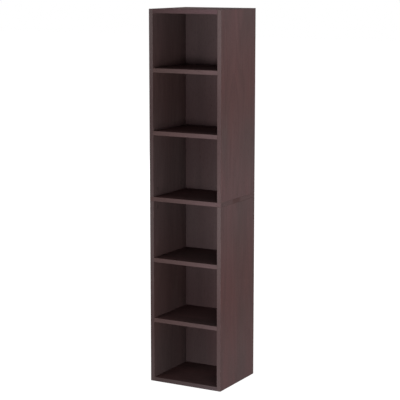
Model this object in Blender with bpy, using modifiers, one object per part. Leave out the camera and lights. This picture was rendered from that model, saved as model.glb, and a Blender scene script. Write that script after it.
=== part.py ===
"""A six-tier cube bookshelf: boards on cam fittings and dowels, with the sides in two halves.

The origin is the middle of the footprint, on the floor. The open front faces -Y, X runs to the
right of someone who stands in front of it, and Z is up. Every size is in metres.
"""

from math import cos, pi, sin

import bmesh
import bpy
from mathutils import Matrix, Vector

# Driving dimensions of the boards
WIDTH = 0.385
DEPTH = 0.346
BOARD = 0.020
SIDE_LENGTH = 0.890
ARRIS = 0.0006
SEAT_GAP = 0.0003

# Everything that follows from them
HEIGHT = 2 * SIDE_LENGTH + BOARD
SHELF_PITCH = SIDE_LENGTH / 3
INNER_WIDTH = WIDTH - 2 * BOARD
FRONT = -DEPTH / 2
REAR = DEPTH / 2
INNER_X = INNER_WIDTH / 2
UPPER_FOOT = SIDE_LENGTH + BOARD

# The thin back and the grooves that hold it
BACK_THICKNESS = 0.003
BACK_FACE = FRONT + 0.313
GROOVE_DEPTH = 0.006
GROOVE_PLAY = 0.0003
GROOVE_END_PLAY = 0.0005

# Boring lines in the depth, counted from the front edge in steps of 32 mm
BORING_STEP = 0.032
FRONT_LINE = FRONT + 0.037
REAR_LINE = FRONT_LINE + 7 * BORING_STEP
DOWEL_LINE = FRONT_LINE + 4 * BORING_STEP
LOWER_DOWEL_LINE = FRONT_LINE + 3 * BORING_STEP
UPPER_DOWEL_LINE = FRONT_LINE + 5 * BORING_STEP
BOLT_LINES = {"front": FRONT_LINE, "rear": REAR_LINE}

# Cam fitting for 20 mm board: a drum 15 mm across, its centre 34 mm from the board's end
CAM_RADIUS = 0.0072
CAM_BORE_RADIUS = 0.0077
CAM_BORE_DEPTH = 0.0142
CAM_TO_END = 0.034
CAM_SIDES = 14
CAM_SLOT_WIDTH = 0.0042
CAM_SLOT_START = 0.0015
CROSS_LENGTH = 0.0084
CROSS_WIDTH = 0.0014
CROSS_DEPTH = 0.0022

# The bolt that the cam draws tight
BOLT_SIDES = 8
BOLT_NECK_RADIUS = 0.0016
BOLT_NECK_END = 0.0078
BOLT_SHANK_RADIUS = 0.0028
BOLT_COLLAR_RADIUS = 0.0036
BOLT_COLLAR_LENGTH = 0.0014
BOLT_THREAD_RADIUS = 0.0025
BOLT_THREAD_LENGTH = 0.0105
BOLT_TIP_LENGTH = 0.0015
BOLT_BORE_RADIUS = 0.0045
THREAD_BORE_RADIUS = 0.0034
THREAD_BORE_SIDES = 6
THREAD_BORE_DEPTH = 0.0115
BORE_SIDES = 8

# Fluted beech dowels, 8 mm across
DOWEL_RADIUS = 0.0040
DOWEL_FLUTE_RADIUS = 0.0032
DOWEL_FLUTES = 6
DOWEL_LENGTH = 0.0300
DOWEL_CHAMFER = 0.0010
DOWEL_IN_FACE = 0.0100
DOWEL_BORE_RADIUS = 0.0047
DOWEL_BORE_PLAY = 0.0010

# How far a cutter starts outside the face that it enters, and the weld of a curve's caps
OVERSHOOT = 0.001
WELD = 0.00001

SIDES = {"left": -1, "right": 1}


def clear_scene():
    """Remove whatever the file already holds."""
    for thing in list(bpy.data.objects):
        bpy.data.objects.remove(thing, do_unlink=True)


def new_collection(name):
    """Make a collection in the scene."""
    collection = bpy.data.collections.new(name)
    bpy.context.scene.collection.children.link(collection)
    return collection


clear_scene()
PARTS = new_collection("cube_bookshelf")
CUTTERS = new_collection("cutters")


def linear_colour(hex_colour):
    """Turn an sRGB hex colour into the linear values that a shader takes."""
    channels = [int(hex_colour[i : i + 2], 16) / 255 for i in (1, 3, 5)]
    linear = [c / 12.92 if c <= 0.04045 else ((c + 0.055) / 1.055) ** 2.4 for c in channels]
    return (*linear, 1.0)


def plain_material(name, hex_colour, roughness, metallic=0.0):
    """A Principled BSDF with one colour, roughness and metallic value."""
    material = bpy.data.materials.new(name)
    material.use_nodes = True
    shader = material.node_tree.nodes["Principled BSDF"]
    shader.inputs["Base Color"].default_value = linear_colour(hex_colour)
    shader.inputs["Roughness"].default_value = roughness
    shader.inputs["Metallic"].default_value = metallic
    material.diffuse_color = linear_colour(hex_colour)
    return material


def foil_material(name):
    """Dark walnut decor foil on chipboard."""
    return plain_material(name, "#594646", 0.45)


def hardboard_material(name):
    """Thin hardboard with the same decor on its front."""
    return plain_material(name, "#4a3a3a", 0.55)


def zinc_material(name):
    """Bright zinc-plated fittings."""
    return plain_material(name, "#b9babb", 0.35, metallic=1.0)


def beech_material(name):
    """Bare steamed beech."""
    return plain_material(name, "#c79f74", 0.7)


def finish(thing, material):
    """Give a piece its material and put it in the bookshelf's collection."""
    thing.data.materials.clear()
    thing.data.materials.append(material)
    PARTS.objects.link(thing)
    return thing


def box_mesh(name, low, high):
    """A closed box between two corners, drawn round the origin of the axes."""
    low = Vector(low)
    high = Vector(high)
    mesh = bpy.data.meshes.new(name)
    bm = bmesh.new()
    size = high - low
    place = Matrix.Translation((low + high) / 2) @ Matrix.Diagonal((*size, 1.0))
    bmesh.ops.create_cube(bm, size=1.0, matrix=place)
    bm.to_mesh(mesh)
    bm.free()
    return mesh


def add_rod(bm, start, end, radius, sides):
    """Add a closed round rod that runs from start to end."""
    start = Vector(start)
    end = Vector(end)
    along = end - start
    turn = along.to_track_quat("Z", "Y").to_matrix().to_4x4()
    place = Matrix.Translation((start + end) / 2) @ turn
    bmesh.ops.create_cone(
        bm,
        cap_ends=True,
        segments=sides,
        radius1=radius,
        radius2=radius,
        depth=along.length,
        matrix=place,
    )


def make_cutter(name, mesh):
    """Wrap a mesh as a cutter, which is never part of the model."""
    cutter = bpy.data.objects.new(name, mesh)
    CUTTERS.objects.link(cutter)
    cutter.hide_render = True
    cutter.display_type = "WIRE"
    return cutter


def rods_cutter(name, rods, sides):
    """One cutter for bores that don't meet: each rod is a start, an end and a radius."""
    mesh = bpy.data.meshes.new(name)
    bm = bmesh.new()
    for start, end, radius in rods:
        add_rod(bm, start, end, radius, sides)
    bm.to_mesh(mesh)
    bm.free()
    return make_cutter(name, mesh)


def cut(thing, cutter, operation="DIFFERENCE"):
    """Cut or join a piece with an exact Boolean."""
    boolean = thing.modifiers.new(cutter.name, "BOOLEAN")
    boolean.operation = operation
    boolean.solver = "EXACT"
    boolean.object = cutter


def board(name, low, high, material):
    """A board with a small arris on every edge, its origin at its middle."""
    centre = (Vector(low) + Vector(high)) / 2
    mesh = box_mesh(name, Vector(low) - centre, Vector(high) - centre)
    thing = bpy.data.objects.new(name, mesh)
    thing.location = centre
    bevel = thing.modifiers.new("arris", "BEVEL")
    bevel.width = ARRIS
    bevel.segments = 1
    bevel.limit_method = "NONE"
    return finish(thing, material)


def bore(thing, kind, rods, sides=BORE_SIDES):
    """Bore a board; the rods are given in world coordinates."""
    if rods:
        cut(thing, rods_cutter(f"{thing.name}_{kind}", rods, sides))


def groove(thing, kind, low, high):
    """Saw a groove into a board, between two world corners."""
    name = f"{thing.name}_{kind}"
    cut(thing, make_cutter(name, box_mesh(name, low, high)))


# Boards that run between the side panels, each by the height of its underside
CROSS_BOARDS = {
    "bottom_board": 0.0,
    "shelf_1": SHELF_PITCH,
    "shelf_2": 2 * SHELF_PITCH,
    "shelf_3": UPPER_FOOT + SHELF_PITCH,
    "shelf_4": UPPER_FOOT + 2 * SHELF_PITCH,
    "top_board": HEIGHT - BOARD,
}
GROOVE_FRONT = BACK_FACE - GROOVE_PLAY
GROOVE_REAR = BACK_FACE + BACK_THICKNESS + GROOVE_PLAY


def cross_board(name, underside):
    """A shelf, the top or the bottom: bored at both ends, cams in its underside."""
    reaches_back = name in ("bottom_board", "top_board")
    rear = REAR if reaches_back else BACK_FACE - SEAT_GAP
    end = INNER_X - SEAT_GAP
    top = underside + BOARD
    thing = board(name, (-end, FRONT, underside), (end, rear, top), foil_material(f"{name}_foil"))
    middle = underside + BOARD / 2
    cam_rods = []
    bolt_rods = []
    dowel_rods = []
    for sign in SIDES.values():
        cam_x = sign * (INNER_X - CAM_TO_END)
        for line in BOLT_LINES.values():
            mouth = (cam_x, line, underside - OVERSHOOT)
            cam_rods.append((mouth, (cam_x, line, underside + CAM_BORE_DEPTH), CAM_BORE_RADIUS))
            outside = (sign * (INNER_X + OVERSHOOT), line, middle)
            bolt_rods.append((outside, (cam_x, line, middle), BOLT_BORE_RADIUS))
        dowel_end = INNER_X - (DOWEL_LENGTH - DOWEL_IN_FACE) - DOWEL_BORE_PLAY
        outside = (sign * (INNER_X + OVERSHOOT), DOWEL_LINE, middle)
        dowel_rods.append((outside, (sign * dowel_end, DOWEL_LINE, middle), DOWEL_BORE_RADIUS))
    bore(thing, "cam_bores", cam_rods, CAM_SIDES)
    bore(thing, "bolt_bores", bolt_rods)
    bore(thing, "dowel_bores", dowel_rods)
    if name == "bottom_board":
        low = (-INNER_X - OVERSHOOT, GROOVE_FRONT, top - GROOVE_DEPTH)
        high = (INNER_X + OVERSHOOT, GROOVE_REAR, top + OVERSHOOT)
        groove(thing, "groove", low, high)
    if name == "top_board":
        low = (-INNER_X - OVERSHOOT, GROOVE_FRONT, underside - OVERSHOOT)
        high = (INNER_X + OVERSHOOT, GROOVE_REAR, underside + GROOVE_DEPTH)
        groove(thing, "groove", low, high)
    return thing


def middle_board():
    """The full-width board between the lower and the upper side panels."""
    low = (-WIDTH / 2, FRONT, SIDE_LENGTH)
    high = (WIDTH / 2, REAR, UPPER_FOOT)
    thing = board("middle_board", low, high, foil_material("middle_board_foil"))
    bolt_rods = []
    dowel_rods = []
    for sign in SIDES.values():
        x = sign * (WIDTH - BOARD) / 2
        for line in BOLT_LINES.values():
            below = (x, line, SIDE_LENGTH - OVERSHOOT)
            bolt_rods.append((below, (x, line, UPPER_FOOT + OVERSHOOT), BOLT_BORE_RADIUS))
        depth = DOWEL_IN_FACE + DOWEL_BORE_PLAY
        low_mouth = (x, LOWER_DOWEL_LINE, SIDE_LENGTH - OVERSHOOT)
        dowel_rods.append((low_mouth, (x, LOWER_DOWEL_LINE, SIDE_LENGTH + depth), DOWEL_BORE_RADIUS))
        high_mouth = (x, UPPER_DOWEL_LINE, UPPER_FOOT + OVERSHOOT)
        dowel_rods.append((high_mouth, (x, UPPER_DOWEL_LINE, UPPER_FOOT - depth), DOWEL_BORE_RADIUS))
    bore(thing, "bolt_bores", bolt_rods)
    bore(thing, "dowel_bores", dowel_rods)
    reach = INNER_X + GROOVE_DEPTH
    under_low = (-reach, GROOVE_FRONT, SIDE_LENGTH - OVERSHOOT)
    groove(thing, "under_groove", under_low, (reach, GROOVE_REAR, SIDE_LENGTH + GROOVE_DEPTH))
    over_low = (-reach, GROOVE_FRONT, UPPER_FOOT - GROOVE_DEPTH)
    groove(thing, "over_groove", over_low, (reach, GROOVE_REAR, UPPER_FOOT + OVERSHOOT))
    return thing


def side_panel(half, side):
    """Half of one side: a panel with bores for the boards that meet its inner face and its end."""
    sign = SIDES[side]
    is_lower = half == "lower"
    foot = 0.0 if is_lower else UPPER_FOOT + SEAT_GAP
    head = SIDE_LENGTH - SEAT_GAP if is_lower else HEIGHT
    near_x, far_x = sorted((sign * INNER_X, sign * WIDTH / 2))
    name = f"{half}_side_{side}"
    thing = board(name, (near_x, FRONT, foot), (far_x, REAR, head), foil_material(f"{name}_foil"))

    thread_rods = []
    face_dowel_rods = []
    inside_x = sign * (INNER_X - OVERSHOOT)
    thread_x = sign * (INNER_X + THREAD_BORE_DEPTH)
    dowel_x = sign * (INNER_X + DOWEL_IN_FACE + DOWEL_BORE_PLAY)
    for underside in CROSS_BOARDS.values():
        middle = underside + BOARD / 2
        if not foot - BOARD < middle < head + BOARD:
            continue
        for line in BOLT_LINES.values():
            thread_rods.append(((inside_x, line, middle), (thread_x, line, middle), THREAD_BORE_RADIUS))
        start = (inside_x, DOWEL_LINE, middle)
        face_dowel_rods.append((start, (dowel_x, DOWEL_LINE, middle), DOWEL_BORE_RADIUS))

    joint = SIDE_LENGTH if is_lower else UPPER_FOOT
    inward = -1 if is_lower else 1
    mid_x = sign * (WIDTH - BOARD) / 2
    cam_z = joint + inward * CAM_TO_END
    cam_rods = []
    bolt_rods = []
    for line in BOLT_LINES.values():
        cam_end = (sign * (INNER_X + CAM_BORE_DEPTH), line, cam_z)
        cam_rods.append(((inside_x, line, cam_z), cam_end, CAM_BORE_RADIUS))
        mouth = (mid_x, line, joint - inward * OVERSHOOT)
        bolt_rods.append((mouth, (mid_x, line, cam_z), BOLT_BORE_RADIUS))
    end_line = LOWER_DOWEL_LINE if is_lower else UPPER_DOWEL_LINE
    end_depth = DOWEL_LENGTH - DOWEL_IN_FACE + DOWEL_BORE_PLAY
    mouth = (mid_x, end_line, joint - inward * OVERSHOOT)
    end_rod = (mouth, (mid_x, end_line, joint + inward * end_depth), DOWEL_BORE_RADIUS)

    bore(thing, "thread_bores", thread_rods, THREAD_BORE_SIDES)
    bore(thing, "face_dowel_bores", face_dowel_rods)
    bore(thing, "cam_bores", cam_rods, CAM_SIDES)
    bore(thing, "bolt_bores", bolt_rods)
    bore(thing, "end_dowel_bore", [end_rod])

    near, far = sorted((inside_x, sign * (INNER_X + GROOVE_DEPTH)))
    low = (near, GROOVE_FRONT, foot - OVERSHOOT)
    groove(thing, "groove", low, (far, GROOVE_REAR, head + OVERSHOOT))
    return thing


def back_panel(half):
    """Thin hardboard that slides in the grooves of the boards round one half."""
    reach = INNER_X + GROOVE_DEPTH - GROOVE_END_PLAY
    tongue = GROOVE_DEPTH - GROOVE_END_PLAY
    if half == "lower":
        foot, head = BOARD - tongue, SIDE_LENGTH + tongue
    else:
        foot, head = UPPER_FOOT - tongue, HEIGHT - BOARD + tongue
    low = Vector((-reach, BACK_FACE, foot))
    high = Vector((reach, BACK_FACE + BACK_THICKNESS, head))
    centre = (low + high) / 2
    name = f"back_panel_{half}"
    thing = bpy.data.objects.new(name, box_mesh(name, low - centre, high - centre))
    thing.location = centre
    return finish(thing, hardboard_material(f"{name}_board"))


def turned(name, profile, sides):
    """Turn a profile of (radius, height) points, listed from the top down, about Z."""
    mesh = bpy.data.meshes.new(name)
    points = [(radius, 0.0, height) for radius, height in profile]
    mesh.from_pydata(points, [(i, i + 1) for i in range(len(points) - 1)], [])
    thing = make_cutter(name, mesh)
    screw = thing.modifiers.new("turn", "SCREW")
    screw.steps = sides
    screw.render_steps = sides
    screw.use_merge_vertices = True
    screw.merge_threshold = 0.00001
    return thing


def neck_profile():
    """The bolt's neck from inside the cam that grips it, as far as the start of the shank."""
    shank_end = CAM_TO_END - BOLT_NECK_END
    return [
        (0.0, CAM_TO_END),
        (BOLT_NECK_RADIUS, CAM_TO_END),
        (BOLT_NECK_RADIUS, shank_end),
        (BOLT_SHANK_RADIUS, shank_end),
    ]


def single_bolt():
    """Neck, shank, collar at the joint face and the end that screws into the panel."""
    collar_end = SEAT_GAP + BOLT_COLLAR_LENGTH
    profile = neck_profile() + [
        (BOLT_SHANK_RADIUS, collar_end),
        (BOLT_COLLAR_RADIUS, collar_end),
        (BOLT_COLLAR_RADIUS, SEAT_GAP),
        (BOLT_THREAD_RADIUS, SEAT_GAP),
        (BOLT_THREAD_RADIUS, -BOLT_THREAD_LENGTH + BOLT_TIP_LENGTH),
        (0.0, -BOLT_THREAD_LENGTH),
    ]
    return turned("single_bolt_form", profile, BOLT_SIDES)


def double_bolt():
    """A plain shank with a neck at each end, centred on the middle board."""
    upper = [(radius, height + BOARD / 2) for radius, height in neck_profile()]
    lower = [(radius, -height) for radius, height in reversed(upper)]
    return turned("double_bolt_form", upper + lower, BOLT_SIDES)


def evaluated_mesh(thing, name):
    """The mesh that a piece has once its modifiers have run, with loose caps welded."""
    bpy.context.view_layer.update()
    graph = bpy.context.evaluated_depsgraph_get()
    mesh = bpy.data.meshes.new_from_object(thing.evaluated_get(graph))
    mesh.name = name
    bm = bmesh.new()
    bm.from_mesh(mesh)
    bmesh.ops.remove_doubles(bm, verts=bm.verts, dist=WELD)
    bm.to_mesh(mesh)
    bm.free()
    return mesh


def cam_mesh(to_joint):
    """The cam: a drum with a cross in its face and a slot on the side where the bolt comes in.

    Its axis is X and its driven face looks to -X, in the plane of the board's face. The bolt comes
    from the joint, which lies along Z by the sign of to_joint.
    """
    name = "cam_above_joint" if to_joint < 0 else "cam_below_joint"
    mesh = bpy.data.meshes.new(f"{name}_drum")
    bm = bmesh.new()
    face = -BOARD / 2 + SEAT_GAP
    rear = -BOARD / 2 + CAM_BORE_DEPTH - SEAT_GAP
    add_rod(bm, (face, 0.0, 0.0), (rear, 0.0, 0.0), CAM_RADIUS, CAM_SIDES)
    bm.to_mesh(mesh)
    bm.free()
    drum = make_cutter(f"{name}_drum", mesh)
    half_long = CROSS_LENGTH / 2
    half_wide = CROSS_WIDTH / 2
    for kind, half_y, half_z in (
        ("level_slot", half_long, half_wide),
        ("upright_slot", half_wide, half_long),
    ):
        low = (face - OVERSHOOT, -half_y, -half_z)
        high = (face + CROSS_DEPTH, half_y, half_z)
        cut(drum, make_cutter(f"{name}_{kind}", box_mesh(kind, low, high)))
    half_slot = CAM_SLOT_WIDTH / 2
    near, far = sorted((to_joint * CAM_SLOT_START, to_joint * (CAM_RADIUS + OVERSHOOT)))
    slot = box_mesh("neck_slot", (-half_slot, -half_slot, near), (half_slot, half_slot, far))
    cut(drum, make_cutter(f"{name}_neck_slot", slot))
    return evaluated_mesh(drum, name)


def fitting_mesh(name, bolt, cams):
    """One tightened fitting: the bolt joined to each cam that grips it, given by mesh and height."""
    for mesh, height in cams:
        cam = make_cutter(f"{name}_{mesh.name}", mesh)
        cam.location.z = height
        cut(bolt, cam, "UNION")
    mesh = evaluated_mesh(bolt, name)
    mesh.shade_smooth()
    mesh.set_sharp_from_angle(angle=pi / 5)
    return mesh


def single_fitting_mesh():
    """Bolt along +Z from the joint face, with its cam 34 mm in, the cam's face towards -X."""
    return fitting_mesh("cam_fitting", single_bolt(), [(cam_mesh(-1), CAM_TO_END)])


def double_fitting_mesh():
    """Double-ended bolt along Z, with one cam in each side panel."""
    height = BOARD / 2 + CAM_TO_END
    cams = [(cam_mesh(-1), height), (cam_mesh(1), -height)]
    return fitting_mesh("through_fitting", double_bolt(), cams)


def dowel_mesh():
    """A fluted dowel along Z with chamfered ends: half lies on each side of the origin."""
    curve = bpy.data.curves.new("dowel_outline", "CURVE")
    curve.dimensions = "2D"
    curve.fill_mode = "BOTH"
    curve.bevel_depth = DOWEL_CHAMFER
    curve.bevel_resolution = 0
    curve.offset = -DOWEL_CHAMFER
    curve.extrude = DOWEL_LENGTH / 2 - DOWEL_CHAMFER
    spline = curve.splines.new("POLY")
    spline.points.add(2 * DOWEL_FLUTES - 1)
    for step, point in enumerate(spline.points):
        angle = step * pi / DOWEL_FLUTES
        radius = DOWEL_FLUTE_RADIUS if step % 2 else DOWEL_RADIUS
        point.co = (radius * cos(angle), radius * sin(angle), 0.0, 1.0)
    spline.use_cyclic_u = True
    outline = bpy.data.objects.new("dowel_outline", curve)
    CUTTERS.objects.link(outline)
    mesh = evaluated_mesh(outline, "dowel")
    bpy.data.objects.remove(outline, do_unlink=True)
    return mesh


def place_hardware(name, mesh, location, turn, material):
    """One fastener, set by its location and its turn."""
    thing = bpy.data.objects.new(name, mesh.copy())
    thing.matrix_world = Matrix.Translation(location) @ turn
    return finish(thing, material)


def lying_along_x(sign):
    """Turn +Z into the board from the side panel, with the cam's face down."""
    into_board = Vector((-sign, 0.0, 0.0))
    face = Vector((0.0, 0.0, -1.0))
    across = into_board.cross(-face)
    return Matrix((-face, across, into_board)).transposed().to_4x4()


def standing_facing(sign):
    """Keep Z upright, with the cam's face towards the inside of the bookshelf."""
    return Matrix.Rotation(0.0 if sign > 0 else pi, 4, "Z")


def build_boards():
    """All thirteen boards."""
    for name, underside in CROSS_BOARDS.items():
        cross_board(name, underside)
    middle_board()
    for half in ("lower", "upper"):
        for side in SIDES:
            side_panel(half, side)
        back_panel(half)


def build_fittings():
    """Cam fittings at the ends of the boards, and through fittings at the middle board."""
    single = single_fitting_mesh()
    for board_name, underside in CROSS_BOARDS.items():
        for side, sign in SIDES.items():
            for place, line in BOLT_LINES.items():
                name = f"cam_{board_name}_{side}_{place}"
                joint = (sign * INNER_X, line, underside + BOARD / 2)
                place_hardware(name, single, joint, lying_along_x(sign), zinc_material(f"{name}_zinc"))
    double = double_fitting_mesh()
    for side, sign in SIDES.items():
        for place, line in BOLT_LINES.items():
            name = f"through_bolt_{side}_{place}"
            centre = (sign * (WIDTH - BOARD) / 2, line, SIDE_LENGTH + BOARD / 2)
            place_hardware(name, double, centre, standing_facing(sign), zinc_material(f"{name}_zinc"))


def build_dowels():
    """Fluted dowels at the ends of the boards and at the middle board."""
    dowel = dowel_mesh()
    past_face = DOWEL_LENGTH / 2 - DOWEL_IN_FACE
    sideways = Matrix.Rotation(pi / 2, 4, "Y")
    for board_name, underside in CROSS_BOARDS.items():
        for side, sign in SIDES.items():
            name = f"dowel_{board_name}_{side}"
            centre = (sign * (INNER_X - past_face), DOWEL_LINE, underside + BOARD / 2)
            place_hardware(name, dowel, centre, sideways, beech_material(f"{name}_beech"))
    upright = Matrix.Identity(4)
    for side, sign in SIDES.items():
        x = sign * (WIDTH - BOARD) / 2
        for half, line, z in (
            ("lower", LOWER_DOWEL_LINE, SIDE_LENGTH - past_face),
            ("upper", UPPER_DOWEL_LINE, UPPER_FOOT + past_face),
        ):
            name = f"dowel_{half}_side_{side}"
            place_hardware(name, dowel, (x, line, z), upright, beech_material(f"{name}_beech"))


build_boards()
build_fittings()
build_dowels()
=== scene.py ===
# %% [markdown]
# A tall cube bookshelf in dark wood-grain foil, with six open compartments over one another.
# Its boards, back panels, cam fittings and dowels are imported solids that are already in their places,
# in metres, standing on z = 0 with the open front towards -Y. This script dresses them: it sets up
# the camera and the light, works out the finishes from real sizes, and adds the small plastic caps
# that the solids leave out.

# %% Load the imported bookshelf
import math

import bpy
import numpy as np
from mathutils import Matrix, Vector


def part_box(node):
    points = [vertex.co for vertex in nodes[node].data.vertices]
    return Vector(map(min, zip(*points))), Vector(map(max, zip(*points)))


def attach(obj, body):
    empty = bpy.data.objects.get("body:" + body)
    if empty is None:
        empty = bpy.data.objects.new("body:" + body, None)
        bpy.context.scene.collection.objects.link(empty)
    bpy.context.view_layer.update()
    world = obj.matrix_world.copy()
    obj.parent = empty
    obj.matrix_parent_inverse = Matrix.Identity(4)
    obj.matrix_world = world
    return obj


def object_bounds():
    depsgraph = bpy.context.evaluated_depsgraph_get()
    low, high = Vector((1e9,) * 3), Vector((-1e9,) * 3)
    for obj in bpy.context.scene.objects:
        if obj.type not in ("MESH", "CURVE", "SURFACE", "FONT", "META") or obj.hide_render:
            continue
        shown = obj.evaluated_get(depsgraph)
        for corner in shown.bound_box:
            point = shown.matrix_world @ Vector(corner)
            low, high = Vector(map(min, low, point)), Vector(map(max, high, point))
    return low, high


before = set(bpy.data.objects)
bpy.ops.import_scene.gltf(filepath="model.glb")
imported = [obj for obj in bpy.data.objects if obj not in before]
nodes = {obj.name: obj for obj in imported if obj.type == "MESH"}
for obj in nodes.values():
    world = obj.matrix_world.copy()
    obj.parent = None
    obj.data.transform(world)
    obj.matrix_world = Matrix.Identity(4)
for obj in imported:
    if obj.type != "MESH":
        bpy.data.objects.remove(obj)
cad_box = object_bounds()
low_corner, high_corner = cad_box
print("packed pieces:", len(nodes), "- size in mm:", [round(v * 1000) for v in high_corner - low_corner])

# %% [markdown]
# The picture was taken with a long lens from a little above the top of the bookshelf, and from its
# right. The angles and the distance come from the front edges of the seven cross boards: where they
# lie in the picture fixes how far the camera stands off and how much it looks down. The focal length
# goes with a sensor 36 mm wide.

# %% Camera
CAMERA_PLACE = (3.1874, -5.7488, 1.9884)
CAMERA_TURN = 29.118
CAMERA_DIP = 9.537
FOCAL_LENGTH = 124.36
SENSOR_WIDTH = 36.0

camera_data = bpy.data.cameras.new("camera")
camera_data.sensor_width = SENSOR_WIDTH
camera_data.lens = FOCAL_LENGTH
camera = bpy.data.objects.new("camera", camera_data)
camera.location = CAMERA_PLACE
camera.rotation_euler = (math.radians(90 - CAMERA_DIP), 0.0, math.radians(CAMERA_TURN))
bpy.context.scene.collection.objects.link(camera)
bpy.context.scene.camera = camera
bpy.context.scene.view_settings.view_transform = "Standard"
stand_off = math.dist(CAMERA_PLACE, (low_corner + high_corner) / 2)
print("camera stands", round(stand_off, 2), "m from the middle of the bookshelf")

# %% [markdown]
# Colours are picked as on a screen, as sRGB hex values, but Blender's shaders count in linear light.
# One function turns the one into the other. A second one adds a node: it takes the node's own
# settings by name, and for each input either a value or the output that feeds it. An input is named
# or numbered. It needs its number where several share a name: a Mix node mixes values at 2 and 3,
# points at 4 and 5, and colours at 6 and 7.


# %% Two small helpers for every material
def linear(hex_colour):
    """sRGB hex to linear RGBA: c/12.92 below 0.04045, and ((c + 0.055) / 1.055) to the power 2.4 above."""
    channels = np.array([int(hex_colour[i : i + 2], 16) for i in (1, 3, 5)]) / 255
    bright = ((channels + 0.055) / 1.055) ** 2.4
    return (*np.where(channels <= 0.04045, channels / 12.92, bright).tolist(), 1.0)


def add_node(tree, kind, feeds=None, **settings):
    """Adds one node, with its settings and with a value or a link for each input named in feeds."""
    node = tree.nodes.new(kind)
    for name, value in settings.items():
        setattr(node, name, value)
    for socket, feed in (feeds or {}).items():
        if isinstance(feed, bpy.types.NodeSocket):
            tree.links.new(feed, node.inputs[socket])
        else:
            node.inputs[socket].default_value = feed
    return node


print("mid grey is", round(linear("#808080")[0], 3), "in linear light")

# %% [markdown]
# The shelf tops are almost black in the picture, while the walls beside them are lit evenly down to
# the shelf. Only light that comes in nearly level does that, so the soft boxes are wide, stand at the
# bookshelf's own height and are 8 m away from it. Three in front carry the picture. Two more light the
# side from the right and from behind, and the last two keep the left, the rear and the top readable.
# The camera doesn't see the lamps themselves.

# %% Soft boxes
LAMP_DISTANCE = 8.0


def soft_box(name, azimuth, width, height, middle, power, distance=LAMP_DISTANCE):
    """A standing lamp at this azimuth and distance, turned to the object's axis. Azimuth 0 is in front."""
    angle = math.radians(azimuth)
    data = bpy.data.lights.new(name, "AREA")
    data.shape = "RECTANGLE"
    data.size = width
    data.size_y = height
    data.energy = power
    lamp = bpy.data.objects.new(name, data)
    lamp.location = (distance * math.sin(angle), -distance * math.cos(angle), middle)
    lamp.rotation_euler = (math.radians(90), 0.0, angle)
    lamp.visible_camera = False
    bpy.context.scene.collection.objects.link(lamp)
    return lamp


lamps = [
    soft_box("front_left_box", azimuth=-25, width=3.0, height=0.8, middle=1.20, power=290),
    soft_box("front_box", azimuth=0, width=3.0, height=1.2, middle=1.00, power=210),
    soft_box("front_right_box", azimuth=45, width=3.0, height=1.2, middle=1.05, power=260),
    soft_box("right_box", azimuth=75, width=3.0, height=0.8, middle=0.40, power=150),
    soft_box("rear_right_box", azimuth=135, width=3.0, height=2.4, middle=1.30, power=420),
    soft_box("rear_left_box", azimuth=235, width=4.0, height=2.4, middle=1.20, power=320),
]
top_lamp = soft_box("top_box", azimuth=0, width=1.5, height=1.5, middle=3.60, power=15, distance=0)
top_lamp.rotation_euler = (0.0, 0.0, 0.0)
lamps.append(top_lamp)
print("soft boxes:", len(lamps), "- total power", sum(lamp.data.energy for lamp in lamps), "W")

# %% [markdown]
# The surroundings are white where they are seen, straight on or in a reflection, and give only a
# little light themselves. One small function tells that apart: it is 1 for a ray from the camera and
# for a ray that a shiny or a clear surface sent on, and 0 for the rays that carry plain light.


# %% White surroundings
def seen_as_background(tree):
    """The greatest of Is Camera Ray, Is Glossy Ray and Is Transmission Ray, as one output."""
    rays = add_node(tree, "ShaderNodeLightPath").outputs
    feeds = {0: rays["Is Camera Ray"], 1: rays["Is Glossy Ray"]}
    either = add_node(tree, "ShaderNodeMath", feeds, operation="MAXIMUM").outputs[0]
    feeds = {0: either, 1: rays["Is Transmission Ray"]}
    return add_node(tree, "ShaderNodeMath", feeds, operation="MAXIMUM").outputs[0]


AMBIENT_LIGHT = 0.04

world = bpy.data.worlds.new("white_surroundings")
world.use_nodes = True
world.node_tree.nodes.clear()
feeds = {"Value": seen_as_background(world.node_tree), "To Min": AMBIENT_LIGHT, "To Max": 1.0}
strength = add_node(world.node_tree, "ShaderNodeMapRange", feeds)
feeds = {"Color": linear("#ffffff"), "Strength": strength.outputs[0]}
white = add_node(world.node_tree, "ShaderNodeBackground", feeds)
add_node(world.node_tree, "ShaderNodeOutputWorld", {"Surface": white.outputs[0]})
bpy.context.scene.world = world
print("light from the surroundings:", AMBIENT_LIGHT)

# %% [markdown]
# The floor is a large sheet of white paper. Most of its white is a glow that only the camera and the
# reflections see, so the floor adds no light to the object. The rest is light that it receives, and
# that part is missing in the object's shadow. The lamps don't reach far behind the bookshelf, so the
# glow grows to full white there and the far edge of the paper can't be told from the surroundings.
# The paper lies a hair below the boards, because two faces in the same place flicker in a render.

# %% Paper floor
FLOOR_HALF = 30.0
FLOOR_LEVEL = -0.0003
FLOOR_GLOW = 0.96
LIT_RADIUS = 1.5
PAPER_GREY = "#a0a0a0"

corners = np.array([(-1, -1, 0), (1, -1, 0), (1, 1, 0), (-1, 1, 0)]) * FLOOR_HALF + (0, 0, FLOOR_LEVEL)
floor_mesh = bpy.data.meshes.new("floor")
floor_mesh.from_pydata(corners.tolist(), [], [(0, 1, 2, 3)])
floor = bpy.data.objects.new("floor", floor_mesh)
bpy.context.scene.collection.objects.link(floor)

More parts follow.
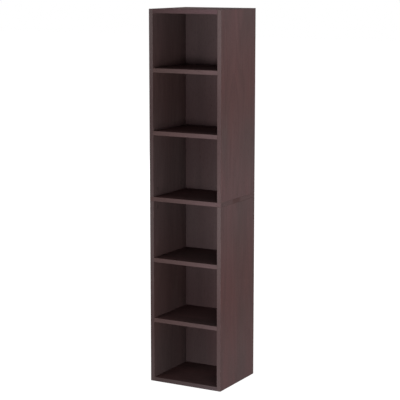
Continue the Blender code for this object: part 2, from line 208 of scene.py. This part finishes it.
paper = bpy.data.materials.new("white_paper")
paper.use_nodes = True
tree = paper.node_tree
tree.nodes.clear()
where = add_node(tree, "ShaderNodeTexCoord").outputs["Object"]
distance = add_node(tree, "ShaderNodeVectorMath", {0: where}, operation="LENGTH").outputs["Value"]
feeds = {"Value": distance, "From Min": LIT_RADIUS, "From Max": 2 * LIT_RADIUS, "To Min": FLOOR_GLOW}
level = add_node(tree, "ShaderNodeMapRange", feeds).outputs[0]
feeds = {0: seen_as_background(tree), 1: level}
glow_strength = add_node(tree, "ShaderNodeMath", feeds, operation="MULTIPLY").outputs[0]
glow = add_node(tree, "ShaderNodeEmission", {"Color": linear("#ffffff"), "Strength": glow_strength})
sheet = add_node(tree, "ShaderNodeBsdfDiffuse", {"Color": linear(PAPER_GREY)})
both = add_node(tree, "ShaderNodeAddShader", {0: glow.outputs[0], 1: sheet.outputs[0]})
add_node(tree, "ShaderNodeOutputMaterial", {"Surface": both.outputs[0]})
floor_mesh.materials.append(paper)
print("floor:", 2 * FLOOR_HALF, "m square")

# %% [markdown]
# The faces of one board don't all look the same: the front edge and the ends carry tape, and a back
# panel is bare behind. A material can tell them apart by the way the surface faces, because no board
# here ever turns.

# %% Which way a face looks
SAME_WAY = 0.7
TO_FRONT = (0, -1, 0)
TO_REAR = (0, 1, 0)
TO_RIGHT = (1, 0, 0)


def facing(tree, direction):
    """1 on the faces whose normal has a dot product above SAME_WAY with the direction, 0 elsewhere."""
    normal = add_node(tree, "ShaderNodeTexCoord").outputs["Normal"]
    along = add_node(tree, "ShaderNodeVectorMath", {0: normal, 1: direction}, operation="DOT_PRODUCT")
    feeds = {0: along.outputs["Value"], 1: SAME_WAY}
    return add_node(tree, "ShaderNodeMath", feeds, operation="GREATER_THAN").outputs[0]


print("a face counts as looking one way up to", round(math.degrees(math.acos(SAME_WAY))), "degrees off it")

# %% [markdown]
# A wood pattern needs a point on the board with its third coordinate along the grain. The shelves run
# across the bookshelf and the sides run up it, so a Mapping node turns the cross boards, and moves
# every board to another part of the pattern. On the narrow end faces the edging tape runs from front
# to back instead, so there the second and the third coordinate change places.

# %% A point along the grain
GRAIN_TURN = {"x": (0.0, math.radians(90), 0.0), "z": (0.0, 0.0, 0.0)}
GRAIN_ENDS = {"x": ((1, 0, 0), (-1, 0, 0)), "z": ((0, 0, 1), (0, 0, -1))}


def grain_point(tree, grain, offset):
    """Object coordinates turned so that z follows the grain, and y on the faces that cut the grain.
    The second output is 1 on those faces."""
    where = add_node(tree, "ShaderNodeTexCoord").outputs["Object"]
    feeds = {"Vector": where, "Rotation": GRAIN_TURN[grain], "Location": offset}
    placed = add_node(tree, "ShaderNodeMapping", feeds).outputs[0]
    parts = add_node(tree, "ShaderNodeSeparateXYZ", {0: placed}).outputs
    taped = add_node(tree, "ShaderNodeCombineXYZ", {0: parts[0], 1: parts[2], 2: parts[1]}).outputs[0]
    one_end, other_end = (facing(tree, direction) for direction in GRAIN_ENDS[grain])
    on_end = add_node(tree, "ShaderNodeMath", {0: one_end, 1: other_end}, operation="MAXIMUM").outputs[0]
    point = add_node(tree, "ShaderNodeMix", {"Factor": on_end, 4: placed, 5: taped}, data_type="VECTOR")
    return point.outputs[1], on_end


print("grain points: along x for cross boards, along z for sides")

# %% [markdown]
# Streaks, pores, flecks and clouds are all the same thing at other sizes: a noise that is stretched
# along the grain and cut off below one level and above another. Most of a noise lies between 0.3 and
# 0.7, so these levels give soft patches, and two high levels leave only sparse dots. A finish is then
# built like a print, with one colour laid over the next, each by its own mask.

# %% Spots of a real size, and colours laid over one another
UNCUT = (0.0, 1.0)
SOFT = (0.3, 0.7)
SPARSE = (0.60, 0.70)


def spots(tree, point, size, levels, detail=2.0, rough=0.5):
    """A noise whose spots are this wide and this long, in metres: the point divided by both sizes.
    It is 0 below the first level, 1 above the second, and 3t^2 - 2t^3 between them."""
    width, length = size
    feeds = {0: point, 1: (1 / width, 1 / width, 1 / length)}
    scaled = add_node(tree, "ShaderNodeVectorMath", feeds, operation="MULTIPLY").outputs[0]
    feeds = {"Vector": scaled, "Scale": 1.0, "Detail": detail, "Roughness": rough}
    noise = add_node(tree, "ShaderNodeTexNoise", feeds).outputs["Fac"]
    feeds = {"Value": noise, "From Min": levels[0], "From Max": levels[1]}
    return add_node(tree, "ShaderNodeMapRange", feeds, interpolation_type="SMOOTHSTEP").outputs[0]


def laid_over(tree, colour, *layers):
    """Lays colours over a first one: each layer has a mask, a share and a colour, and its colour
    covers what is below by the mask times the share."""
    for mask, share, top_colour in layers:
        cover = add_node(tree, "ShaderNodeMath", {0: mask, 1: share}, operation="MULTIPLY").outputs[0]
        feeds = {"Factor": cover, 6: colour, 7: top_colour}
        colour = add_node(tree, "ShaderNodeMix", feeds, data_type="RGBA").outputs[2]
    return colour


print("pattern helpers are ready")

# %% [markdown]
# Every finish ends in the same two nodes: a Bump node that turns a height into small slopes, and the
# Principled shader. What is the same all over a surface, such as its gloss level, is set on the
# shader's own inputs.

# %% A material from its parts
BUMP_STRENGTH = 0.4


def new_material(name):
    """An empty node material, and its tree."""
    material = bpy.data.materials.new(name)
    material.use_nodes = True
    material.node_tree.nodes.clear()
    return material, material.node_tree


def finish_material(tree, colour, roughness, height, relief, **fixed):
    """Joins colour, roughness and a bump of this relief in metres in one shader."""
    feeds = {"Height": height, "Strength": BUMP_STRENGTH, "Distance": relief}
    bump = add_node(tree, "ShaderNodeBump", feeds)
    feeds = {"Base Color": colour, "Roughness": roughness, "Normal": bump.outputs[0]}
    feeds.update({socket.replace("_", " "): value for socket, value in fixed.items()})
    shader = add_node(tree, "ShaderNodeBsdfPrincipled", feeds)
    add_node(tree, "ShaderNodeOutputMaterial", {"Surface": shader.outputs[0]})


def put_on(name, material):
    """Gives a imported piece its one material."""
    nodes[name].data.materials.clear()
    nodes[name].data.materials.append(material)


print("material helpers are ready")

# %% [markdown]
# The boards are particle board wrapped in decor foil: paper printed with a dark walnut picture, under
# a matt lacquer. The picture is made of growth rings, each of which darkens slowly and ends at once,
# of fine streaks about 3 mm wide, and of short dark pores. The rings are the height lines of one slow
# noise, which gives the long nested loops of a flat-sawn board. Real pores are 0.3 mm wide, too fine
# to show, so they are drawn 1.1 mm wide. Broad reddish clouds come from the heartwood. The lacquer's
# IOR is 1.47, but it is so matt that the picture shows no shine, so the gloss level is far down.
# Each layer of the picture covers what is below by a share of its own.

# %% Colours and sizes of the foil
FOIL_DARK = "#413535"
FOIL_LIGHT = "#524645"
FOIL_WARM = "#5b4041"
FOIL_PORE = "#261b19"
FOIL_MARK = "#3b2725"
# FOIL_EDGE is the lighter colour of the board edges: partly wear, partly a painted highlight.
FOIL_EDGE = "#65524f"
RING_FIELD = (0.16, 1.1)
RINGS_PER_FIELD = 6.0
STREAK = (0.0032, 0.16)
STREAK_LEVELS = (0.2, 0.8)
PORE = (0.0011, 0.016)
CLOUD = (0.12, 0.45)
CLOUD_LEVELS = (0.1, 0.9)
SHARES = {"streaks": 0.65, "rings": 0.25, "tape": 0.5, "pores": 0.5, "ends": 0.08, "wear_and_highlight": 0.3}
FOIL_ROUGHNESS = (0.80, 0.70)
FOIL_GLOSS = {"IOR": 1.47, "Specular_IOR_Level": 0.04}
FOIL_RELIEF = 0.0003
print("streaks in mm:", [v * 1000 for v in STREAK], "- pores in mm:", [v * 1000 for v in PORE])

# %% [markdown]
# Each board is lighter along its edges: partly the lacquer worn a little, where the foil's paper shows
# lighter, and partly a painted highlight where the rounded edge catches the light. A board is a box, so the
# distance from a point to its nearest edge can be told from the point alone.

# %% Worn edges, with a painted highlight on them
WEAR_AND_HIGHLIGHT_START = 0.0002
WEAR_AND_HIGHLIGHT_WIDTH = 0.0012


def worn_and_highlit_edge(tree, box):
    """1 on the board's edges and 0 further in. Of the distances to the three pairs of faces, one is
    zero on a face, so the middle one of the three is the distance to the nearest edge."""
    low, high = box
    centre = tuple((low + high) / 2)
    half = tuple((high - low) / 2)
    where = add_node(tree, "ShaderNodeTexCoord").outputs["Object"]
    off = add_node(tree, "ShaderNodeVectorMath", {0: where, 1: centre}, operation="SUBTRACT").outputs[0]
    off = add_node(tree, "ShaderNodeVectorMath", {0: off}, operation="ABSOLUTE").outputs[0]
    inside = add_node(tree, "ShaderNodeVectorMath", {0: half, 1: off}, operation="SUBTRACT").outputs[0]
    parts = add_node(tree, "ShaderNodeSeparateXYZ", {0: inside}).outputs
    smaller = add_node(tree, "ShaderNodeMath", {0: parts[0], 1: parts[1]}, operation="MINIMUM").outputs[0]
    greater = add_node(tree, "ShaderNodeMath", {0: parts[0], 1: parts[1]}, operation="MAXIMUM").outputs[0]
    rest = add_node(tree, "ShaderNodeMath", {0: greater, 1: parts[2]}, operation="MINIMUM").outputs[0]
    middle = add_node(tree, "ShaderNodeMath", {0: smaller, 1: rest}, operation="MAXIMUM").outputs[0]
    feeds = {"Value": middle, "From Min": WEAR_AND_HIGHLIGHT_START, "From Max": WEAR_AND_HIGHLIGHT_WIDTH, "To Min": 1.0, "To Max": 0.0}
    return add_node(tree, "ShaderNodeMapRange", feeds, interpolation_type="SMOOTHSTEP").outputs[0]


print("edges are worn over", WEAR_AND_HIGHLIGHT_WIDTH * 1000, "mm")

# %% [markdown]
# A growth ring is pale where the tree grew fast in spring, and darkens towards the summer's end. A
# saw-tooth made of a slow noise repeats that: its fraction climbs from 0 to 1 and falls back at once.
# The ring starts to darken after a quarter of its width.

# %% Growth rings
RING_DARKENS = (0.25, 0.95)


def late_wood(tree, point):
    """The fraction of a slow noise times the number of rings, from 0 in early wood to 1 in late wood."""
    field = spots(tree, point, RING_FIELD, UNCUT, detail=1.0)
    feeds = {0: field, 1: RINGS_PER_FIELD}
    rings = add_node(tree, "ShaderNodeMath", feeds, operation="MULTIPLY").outputs[0]
    ring = add_node(tree, "ShaderNodeMath", {0: rings}, operation="FRACT").outputs[0]
    feeds = {"Value": ring, "From Min": RING_DARKENS[0], "From Max": RING_DARKENS[1]}
    return add_node(tree, "ShaderNodeMapRange", feeds, interpolation_type="SMOOTHSTEP").outputs[0]


print("about", RINGS_PER_FIELD, "rings in each", RING_FIELD[0] * 1000, "mm")

# %% [markdown]
# The print also changes slowly along the grain. Both halves of the bookshelf show it at the same
# places: the boards are redder and darker near the middle of each half, and greyer towards its ends.
# So the roll repeats that change about every 0.95 m, and all boards are cut at the same point of it.
# On the front tape of the upright boards the tinted places lie lower. On the cross boards they are at the
# left end: the faces are redder there, and the front tape is darker, which is painted shade for the light
# that brightens the front edges from left to right. Each tint multiplies the picture, so the streaks go on
# through it.

# %% Red places of the print, and painted shade at the left end of the cross boards' tape
PRINT_REPEAT = 0.95
PRINT_AND_SHADE_PLACES = {"x": (-0.25, -0.20), "z": (0.48, 0.31)}
TINT_WANDER = 0.12
RED_TINT = "#f4e6e3"
# The cross boards' tape tint is painted shade, darker towards the left end; the upright boards' one is part
# of the print.
TAPE_PRINT_AND_SHADE_TINT = {"x": "#d5ddd9", "z": "#f1f3f7"}


def print_and_shade_places(tree, grain, cloud):
    """(1 + cos(2 pi (p - place) / repeat)) / 2 for the position p along the grain: 1 at a tinted place, 0
    half a repeat from it. The clouds make it wander. The second output is the same on the front tape alone,
    where on the cross boards it places painted shade."""
    where = add_node(tree, "ShaderNodeTexCoord").outputs["Object"]
    along = add_node(tree, "ShaderNodeSeparateXYZ", {0: where}).outputs["xyz".index(grain)]
    front = facing(tree, TO_FRONT)
    on_face, on_tape = PRINT_AND_SHADE_PLACES[grain]
    feeds = {"Value": front, "To Min": on_face + TINT_WANDER / 2, "To Max": on_tape + TINT_WANDER / 2}
    place = add_node(tree, "ShaderNodeMapRange", feeds).outputs[0]
    off = add_node(tree, "ShaderNodeMath", {0: along, 1: place}, operation="SUBTRACT").outputs[0]
    feeds = {0: cloud, 1: TINT_WANDER, 2: off}
    off = add_node(tree, "ShaderNodeMath", feeds, operation="MULTIPLY_ADD").outputs[0]
    feeds = {0: off, 1: 2 * math.pi / PRINT_REPEAT}
    turn = add_node(tree, "ShaderNodeMath", feeds, operation="MULTIPLY").outputs[0]
    wave = add_node(tree, "ShaderNodeMath", {0: turn}, operation="COSINE").outputs[0]
    tinted = add_node(tree, "ShaderNodeMapRange", {"Value": wave, "From Min": -1.0}).outputs[0]
    return tinted, add_node(tree, "ShaderNodeMath", {0: tinted, 1: front}, operation="MULTIPLY").outputs[0]


lower_place = PRINT_AND_SHADE_PLACES["z"][0]
print("red places on the upright boards at", lower_place, "m and", round(lower_place + PRINT_REPEAT, 2), "m")

# %% [markdown]
# Now the picture itself. The streaks make most of it, the clouds and rings are laid over them in small
# shares, and the pores are cut in last. The front edges carry tape of another roll, which is a little
# lighter or darker than the faces, so its tone is given for each kind of board. These tones are partly
# painted light: the tape of the left sides is darker and that of the right sides lighter, painting in the
# light that brightens the front edges from left to right. The lacquer is a little smoother on the light
# streaks, and the pores are pressed in.


# %% The foil's picture
def foil_picture(tree, grain, offset, box, tape, cloud_share, marks=()):
    """The foil's colour, roughness and height, as three outputs, for a board with this grain. Marks
    are further layers for one board alone."""
    point, on_end = grain_point(tree, grain, offset)
    streak = spots(tree, point, STREAK, STREAK_LEVELS, detail=4.0, rough=0.6)
    pore = spots(tree, point, PORE, SPARSE)
    cloud = spots(tree, point, CLOUD, CLOUD_LEVELS)
    layers = [
        (streak, SHARES["streaks"], linear(FOIL_LIGHT)),
        (cloud, cloud_share, linear(FOIL_WARM)),
        (late_wood(tree, point), SHARES["rings"], linear(FOIL_DARK)),
        # The tape layer's tone, set for each kind of board, is partly painted light.
        (facing(tree, TO_FRONT), SHARES["tape"], linear(tape)),
        (pore, SHARES["pores"], linear(FOIL_PORE)),
        (on_end, SHARES["ends"], linear(FOIL_PORE)),
        # The edge layer is partly wear and partly a painted highlight where the edge catches the light.
        (worn_and_highlit_edge(tree, box), SHARES["wear_and_highlight"], linear(FOIL_EDGE)),
    ]
    colour = laid_over(tree, linear(FOIL_DARK), *layers, *marks)
    # On the cross boards the tape's tint is painted shade, darker at the left end.
    for tinted, tint in zip(print_and_shade_places(tree, grain, cloud), (RED_TINT, TAPE_PRINT_AND_SHADE_TINT[grain])):
        feeds = {"Factor": tinted, 6: colour, 7: linear(tint)}
        colour = add_node(tree, "ShaderNodeMix", feeds, data_type="RGBA", blend_type="MULTIPLY").outputs[2]
    feeds = {"Value": streak, "To Min": FOIL_ROUGHNESS[0], "To Max": FOIL_ROUGHNESS[1]}
    roughness = add_node(tree, "ShaderNodeMapRange", feeds).outputs[0]
    height = add_node(tree, "ShaderNodeMath", {0: streak, 1: pore}, operation="SUBTRACT").outputs[0]
    return colour, roughness, height


print("foil colours:", FOIL_DARK, FOIL_LIGHT, FOIL_WARM, FOIL_PORE, FOIL_EDGE)

# %% [markdown]
# On the right end of the middle board, the tape is darker along a streak about 90 mm long, a little in front
# of the board's middle, at the seam. It fades out at both ends.

# %% The streak on the middle board's end
STREAK_MIDDLE = -0.017
STREAK_REACH = 0.050
STREAK_SHARE = 0.6


def end_streak(tree):
    """1 where |y - middle| is less than half the reach, 0 beyond the reach, and only on the face that
    looks to the right."""
    where = add_node(tree, "ShaderNodeTexCoord").outputs["Object"]
    parts = add_node(tree, "ShaderNodeSeparateXYZ", {0: where}).outputs
    off = add_node(tree, "ShaderNodeMath", {0: parts[1], 1: STREAK_MIDDLE}, operation="SUBTRACT").outputs[0]
    off = add_node(tree, "ShaderNodeMath", {0: off}, operation="ABSOLUTE").outputs[0]
    feeds = {"Value": off, "From Min": STREAK_REACH, "From Max": STREAK_REACH / 2}
    fading = add_node(tree, "ShaderNodeMapRange", feeds, interpolation_type="SMOOTHSTEP").outputs[0]
    feeds = {0: fading, 1: facing(tree, TO_RIGHT)}
    return add_node(tree, "ShaderNodeMath", feeds, operation="MULTIPLY").outputs[0]


print("streak from y =", STREAK_MIDDLE - STREAK_REACH, "to", STREAK_MIDDLE + STREAK_REACH)

# %% [markdown]
# Each board gets its own copy of the foil, because its edges, worn and with a painted highlight, are its own
# and its fine grain comes from another strip of the roll. Boards of one kind share three things: the
# direction of the grain, the tone of the tape, and the share of the reddish clouds. The tape tones carry
# painted light, darker on the left sides and lighter on the right sides. The left sides are the greyest.

# %% Foil on the boards
OFFSET_STEP = np.array([0.31, 0.17, 0.53])
# The tape tones here are partly painted light: darker on the left sides, lighter on the right sides.
LEFT_SIDE = ("z", "#4d4545", 0.25)
RIGHT_SIDE = ("z", "#645959", 0.75)
BOTTOM = ("x", "#564e52", 0.8)
SHELF = ("x", "#6a585a", 0.8)
TOP = ("x", "#5d4b51", 0.8)
BOARDS = {
    "lower_side_left": LEFT_SIDE,
    "lower_side_right": RIGHT_SIDE,
    "upper_side_left": LEFT_SIDE,
    "upper_side_right": RIGHT_SIDE,
    "bottom_board": BOTTOM,
    "shelf_1": SHELF,
    "shelf_2": SHELF,
    "middle_board": SHELF,
    "shelf_3": SHELF,
    "shelf_4": SHELF,
    "top_board": TOP,
}

for number, (name, (grain, tape, cloud_share)) in enumerate(BOARDS.items()):
    material, tree = new_material("matt_walnut_foil_" + name)
    marks = [(end_streak(tree), STREAK_SHARE, linear(FOIL_MARK))] if name == "middle_board" else []
    offset = tuple(OFFSET_STEP * number)
    picture = foil_picture(tree, grain, offset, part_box(name), tape, cloud_share, marks)
    finish_material(tree, *picture, relief=FOIL_RELIEF, **FOIL_GLOSS)
    put_on(name, material)
print("boards in foil:", len(BOARDS))

# %% [markdown]
# The back panels are hardboard 3 mm thick. Their front carries the same walnut foil, with the grain
# upright. Their rear is bare: pressed brown wood fibre, with the fine mesh mark of the wire screen
# that the wet board was pressed on. Real mesh has a pitch of 1.3 mm, and it is drawn at 4 mm so that
# it can be seen at all.

# %% Bare fibre
FIBRE_DARK = "#5f4937"
FIBRE_LIGHT = "#775e48"
FIBRE = (0.0016, 0.006)
FIBRE_CLOUD = (0.05, 0.05)
FIBRE_CLOUD_LEVELS = (0.35, 0.65)
FIBRE_CLOUD_SHARE = 0.35
FIBRE_ROUGHNESS = 0.85
SCREEN_PITCH = 0.004


def bare_hardboard(tree):
    """Colour and height of pressed fibre: soft clouds, short fibres, and a mesh as |sin x| + |sin z|."""
    where = add_node(tree, "ShaderNodeTexCoord").outputs["Object"]
    cloud = spots(tree, where, FIBRE_CLOUD, FIBRE_CLOUD_LEVELS, detail=3.0)
    fibre = spots(tree, where, FIBRE, SOFT, detail=3.0)
    parts = add_node(tree, "ShaderNodeSeparateXYZ", {0: where}).outputs
    waves = []
    for part in (parts[0], parts[2]):
        feeds = {0: part, 1: math.pi / SCREEN_PITCH}
        turned = add_node(tree, "ShaderNodeMath", feeds, operation="MULTIPLY").outputs[0]
        wave = add_node(tree, "ShaderNodeMath", {0: turned}, operation="SINE").outputs[0]
        waves.append(add_node(tree, "ShaderNodeMath", {0: wave}, operation="ABSOLUTE").outputs[0])
    mesh_mark = add_node(tree, "ShaderNodeMath", {0: waves[0], 1: waves[1]}, operation="ADD").outputs[0]
    dark = linear(FIBRE_DARK)
    layers = [(fibre, 1.0, linear(FIBRE_LIGHT)), (cloud, FIBRE_CLOUD_SHARE, dark)]
    return laid_over(tree, dark, *layers), mesh_mark


print("screen mark every", SCREEN_PITCH * 1000, "mm")

# %% [markdown]
# One material dresses both sides of a panel. It tells the rear from the front by the way the surface
# faces, and changes over colour, roughness and height together. The front has a tone of its own,
# which takes the place of the tape's.

# %% Back panels
BACK_PANELS = ("back_panel_lower", "back_panel_upper")
BACK_TONE = "#584b4c"
BACK_CLOUD_SHARE = 0.5
BACK_FIRST_STEP = 20

for number, name in enumerate(BACK_PANELS, start=BACK_FIRST_STEP):
    material, tree = new_material("foiled_hardboard_" + name)
    offset = tuple(OFFSET_STEP * number)
    picture = foil_picture(tree, "z", offset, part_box(name), BACK_TONE, BACK_CLOUD_SHARE)
    front_colour, front_roughness, front_height = picture
    rear_colour, rear_height = bare_hardboard(tree)
    rear = facing(tree, TO_REAR)
    colour = laid_over(tree, front_colour, (rear, 1.0, rear_colour))
    feeds = {"Factor": rear, 2: front_roughness, 3: FIBRE_ROUGHNESS}
    roughness = add_node(tree, "ShaderNodeMix", feeds).outputs[0]
    feeds = {"Factor": rear, 2: front_height, 3: rear_height}
    height = add_node(tree, "ShaderNodeMix", feeds).outputs[0]
    finish_material(tree, colour, roughness, height, relief=FOIL_RELIEF, **FOIL_GLOSS)
    put_on(name, material)
print("back panels:", len(BACK_PANELS))

# %% [markdown]
# Each cam is zinc, cast in a die and tumbled: a silvery grey with a faint cloudiness, tiny pits and a
# soft shine. Its bolt is zinc-plated steel and looks much the same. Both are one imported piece. A
# metal's colour is its reflection, so the shader is fully metallic.

# %% Die-cast zinc
ZINC_DULL = "#9a9da0"
ZINC_BRIGHT = "#c4c6c7"
ZINC_CLOUD = (0.003, 0.003)
ZINC_PIT = (0.0005, 0.0005)
ZINC_PIT_LEVELS = (0.60, 0.68)
ZINC_ROUGHNESS = (0.42, 0.30)
FINE_RELIEF = 0.0001

zinc, tree = new_material("tumbled_die_cast_zinc")
where = add_node(tree, "ShaderNodeTexCoord").outputs["Object"]
cloud = spots(tree, where, ZINC_CLOUD, SOFT, detail=3.0)
pit = spots(tree, where, ZINC_PIT, ZINC_PIT_LEVELS)
colour = laid_over(tree, linear(ZINC_DULL), (cloud, 1.0, linear(ZINC_BRIGHT)))
feeds = {"Value": cloud, "To Min": ZINC_ROUGHNESS[0], "To Max": ZINC_ROUGHNESS[1]}
roughness = add_node(tree, "ShaderNodeMapRange", feeds).outputs[0]
height = add_node(tree, "ShaderNodeMath", {0: cloud, 1: pit}, operation="SUBTRACT").outputs[0]
finish_material(tree, colour, roughness, height, relief=FINE_RELIEF, Metallic=1.0)

fittings = [name for name in nodes if name.startswith(("cam_", "through_bolt_"))]
for name in fittings:
    put_on(name, zinc)
print("cam fittings in zinc:", len(fittings))

# %% [markdown]
# The dowels are beech: pale, slightly pink wood with short darker flecks that run along the dowel.
# Most lie across the bookshelf in the ends of the boards. Four stand upright at the middle board, so
# the material comes in two directions.

# %% Beech dowels
BEECH_LIGHT = "#d6b48a"
BEECH_DARK = "#b98f66"
BEECH_FLECK = "#8f6443"
BAND = (0.0012, 0.03)
FLECK = (0.0004, 0.003)
FLECK_SHARE = 0.6
END_SHARE = 0.3
BEECH_ROUGHNESS = (0.6, 0.7)

for grain in ("x", "z"):
    beech, tree = new_material("fluted_beech_along_" + grain)
    point, on_end = grain_point(tree, grain, (0.0, 0.0, 0.0))
    band = spots(tree, point, BAND, SOFT, detail=3.0)
    fleck = spots(tree, point, FLECK, SPARSE)
    layers = [
        (band, 1.0, linear(BEECH_DARK)),
        (fleck, FLECK_SHARE, linear(BEECH_FLECK)),
        (on_end, END_SHARE, linear(BEECH_FLECK)),
    ]
    colour = laid_over(tree, linear(BEECH_LIGHT), *layers)
    feeds = {"Value": band, "To Min": BEECH_ROUGHNESS[0], "To Max": BEECH_ROUGHNESS[1]}
    roughness = add_node(tree, "ShaderNodeMapRange", feeds).outputs[0]
    finish_material(tree, colour, roughness, fleck, relief=FINE_RELIEF)
    dowels = [name for name in nodes if name.startswith("dowel_") and ("_side_" in name) == (grain == "z")]
    for name in dowels:
        put_on(name, beech)
    print("beech dowels along", grain + ":", len(dowels))

# %% [markdown]
# Eight cams of the through bolts open on the inner faces of the sides, where they would be seen, so a
# thin plastic cap in the colour of the foil is pressed over each. A cap is a low dome. Its profile is
# a quarter of a superellipse, nearly flat on top and turning down quickly at the rim, and the profile
# is carried round the cap's axis. The ring at the rim is closed by a flat back.

# %% Cap shape
CAP_RADIUS = 0.0098
CAP_HEIGHT = 0.0013
CAP_ROUNDNESS = 3.0
CAP_RINGS = 10
CAP_SIDES = 40


def cap_points():
    """Points of one cap with its axis along +X: r = R sin(a)^(2/n), h = H cos(a)^(2/n), turned once
    round, then the middle of the top and the middle of the back."""
    angle = np.linspace(0, math.pi / 2, CAP_RINGS + 1)[1:]
    radius = CAP_RADIUS * np.sin(angle) ** (2 / CAP_ROUNDNESS)
    height = CAP_HEIGHT * np.abs(np.cos(angle)) ** (2 / CAP_ROUNDNESS)
    turn = np.arange(CAP_SIDES) * 2 * math.pi / CAP_SIDES
    across = np.outer(radius, np.cos(turn)).ravel()
    up = np.outer(radius, np.sin(turn)).ravel()
    rings = np.stack([np.repeat(height, CAP_SIDES), across, up], axis=-1)
    return np.vstack([rings, [(CAP_HEIGHT, 0, 0), (0, 0, 0)]])


one_cap = cap_points()
print("one cap:", len(one_cap), "points")

# %% [markdown]
# The faces follow the grid of points: four-sided ones between a ring and the next, and triangles that
# close the top and the back round their middle points. All of them face outwards.


# %% Cap faces
def cap_faces():
    """The index of each face's corners on the grid of rings by sides, with both ends closed."""
    around = np.arange(CAP_SIDES)
    after = (around + 1) % CAP_SIDES
    first = np.arange(CAP_RINGS - 1)[:, None] * CAP_SIDES
    next_ring = first + CAP_SIDES
    quads = np.stack([first + around, next_ring + around, next_ring + after, first + after], -1)
    top_middle = np.full(CAP_SIDES, CAP_RINGS * CAP_SIDES)
    top = np.stack([around, after, top_middle], -1)
    rim = (CAP_RINGS - 1) * CAP_SIDES
    back = np.stack([rim + after, rim + around, top_middle + 1], -1)
    return quads.reshape(-1, 4).tolist() + top.tolist() + back.tolist()


faces_of_cap = cap_faces()
print("one cap:", len(faces_of_cap), "faces")

# %% [markdown]
# The caps are moulded polystyrene. Spark-eroded moulds leave a fine, even grain on the plastic, which
# scatters the light like the matt foil does. Its colour was matched to the foil's mean, with a hint
# of the streaks' unevenness from the pigment. The grain is 0.1 mm fine, and is drawn at 0.6 mm. The
# IOR is that of polystyrene, and the gloss level is far down, as the foil's is.

# %% Cap plastic
CAP_DARK = "#3a2f2e"
CAP_LIGHT = "#443736"
CAP_PIGMENT = (0.006, 0.012)
CAP_GRAIN = (0.0006, 0.0006)
CAP_ROUGHNESS = (0.66, 0.74)
CAP_GLOSS = {"IOR": 1.59, "Specular_IOR_Level": 0.05}

plastic, tree = new_material("moulded_brown_polystyrene")
where = add_node(tree, "ShaderNodeTexCoord").outputs["Object"]
pigment = spots(tree, where, CAP_PIGMENT, SOFT)
mould_grain = spots(tree, where, CAP_GRAIN, SOFT)
colour = laid_over(tree, linear(CAP_DARK), (pigment, 1.0, linear(CAP_LIGHT)))
feeds = {"Value": mould_grain, "To Min": CAP_ROUGHNESS[0], "To Max": CAP_ROUGHNESS[1]}
roughness = add_node(tree, "ShaderNodeMapRange", feeds).outputs[0]
finish_material(tree, colour, roughness, mould_grain, relief=FINE_RELIEF, **CAP_GLOSS)
print("cap colours:", CAP_DARK, CAP_LIGHT)

# %% [markdown]
# A cap goes over each cam of a through bolt. The bolt's packed box gives its place from front to back,
# and the cams are 44 mm above and below the middle board's own middle. The points are moved in the
# mesh, so the object itself stays at the origin. On the right the cap is mirrored, which turns its
# faces inside out, so their corners are listed the other way round there.

# %% Caps on the sides' inner faces
INNER_FACE = 0.1725
MIDDLE_LEVEL = 0.900
CAM_OFF_MIDDLE = 0.044

for mirror, side in ((1, "left"), (-1, "right")):
    faces = faces_of_cap if mirror == 1 else [face[::-1] for face in faces_of_cap]
    for place in ("front", "rear"):
        low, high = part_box(f"through_bolt_{side}_{place}")
        for level, off in (("lower", -CAM_OFF_MIDDLE), ("upper", CAM_OFF_MIDDLE)):
            centre = (-mirror * INNER_FACE, (low.y + high.y) / 2, MIDDLE_LEVEL + off)
            mesh = bpy.data.meshes.new(f"cap_{side}_{place}_{level}")
            mesh.from_pydata((one_cap * (mirror, 1, 1) + centre).tolist(), [], faces)
            mesh.shade_smooth()
            mesh.materials.append(plastic)
            cap = bpy.data.objects.new(mesh.name, mesh)
            bpy.context.scene.collection.objects.link(cap)
            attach(cap, "root")
            print(cap.name, "at", [round(v, 4) for v in centre])
